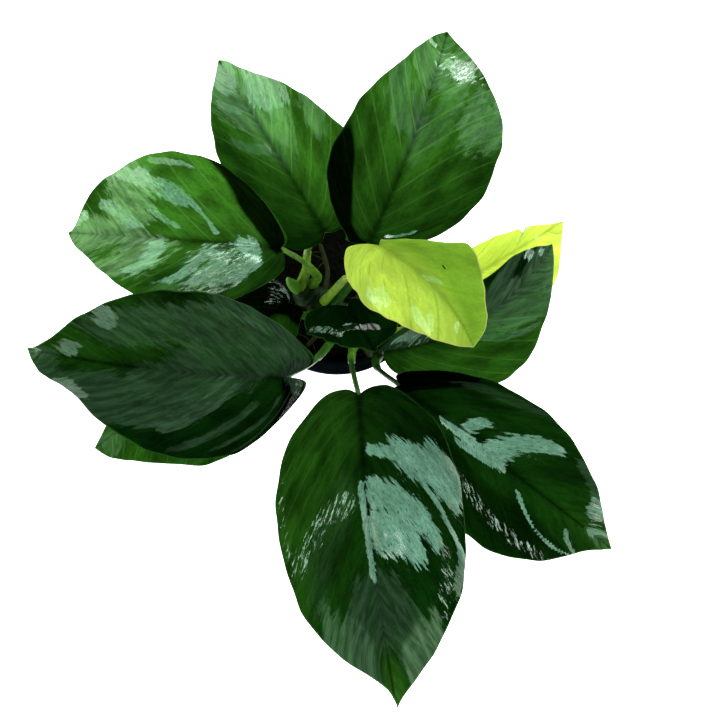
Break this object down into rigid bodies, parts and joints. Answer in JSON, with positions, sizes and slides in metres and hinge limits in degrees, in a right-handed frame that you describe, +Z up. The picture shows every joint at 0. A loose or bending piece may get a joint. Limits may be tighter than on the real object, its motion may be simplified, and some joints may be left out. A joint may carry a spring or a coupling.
{
  "type": "potted anubias aquarium plant",
  "caption": "Dwarf aquarium plant with broad glossy heart-shaped leaves on thin stalks from a creeping rhizome, in a small black slotted net pot.",
  "frame": {"origin": "on the net pot's axis, at the underside of its foot", "axes": "+Z up along the pot's axis; +Y towards the back pair of leaves, so the longest leaf points to -Y; +X to the viewer's right"},
  "size_m": [0.166, 0.1925, 0.1238],
  "materials": {
    "pot_plastic": "satin",
    "wet_medium": "matte",
    "rhizome_skin": "satin",
    "root_skin": "matte",
    "old_leaf": "gloss",
    "young_leaf": "gloss",
    "old_stalk": "satin",
    "young_stalk": "satin"
  },
  "bodies": {
    "root": {"net_pot": "pot_plastic", "growing_medium": "wet_medium", "rhizome": "rhizome_skin", "new_shoot": "young_stalk", "anchor_root_1": "root_skin", "anchor_root_2": "root_skin", "anchor_root_3": "root_skin", "anchor_root_4": "root_skin", "leaf_back_left": "old_leaf", "stalk_back_left": "old_stalk", "leaf_back_right": "old_leaf", "stalk_back_right": "old_stalk", "leaf_left_upper": "old_leaf", "stalk_left_upper": "old_stalk", "leaf_left_lower": "old_leaf", "stalk_left_lower": "old_stalk", "leaf_left_under": "old_leaf", "stalk_left_under": "old_stalk", "leaf_front": "old_leaf", "stalk_front": "old_stalk", "leaf_front_right": "old_leaf", "stalk_front_right": "old_stalk", "leaf_right": "old_leaf", "stalk_right": "old_stalk", "leaf_young_middle": "young_leaf", "stalk_young_middle": "young_stalk", "leaf_young_right": "young_leaf", "stalk_young_right": "young_stalk", "leaf_centre": "old_leaf", "stalk_centre": "old_stalk"}
  },
  "joints": []
}
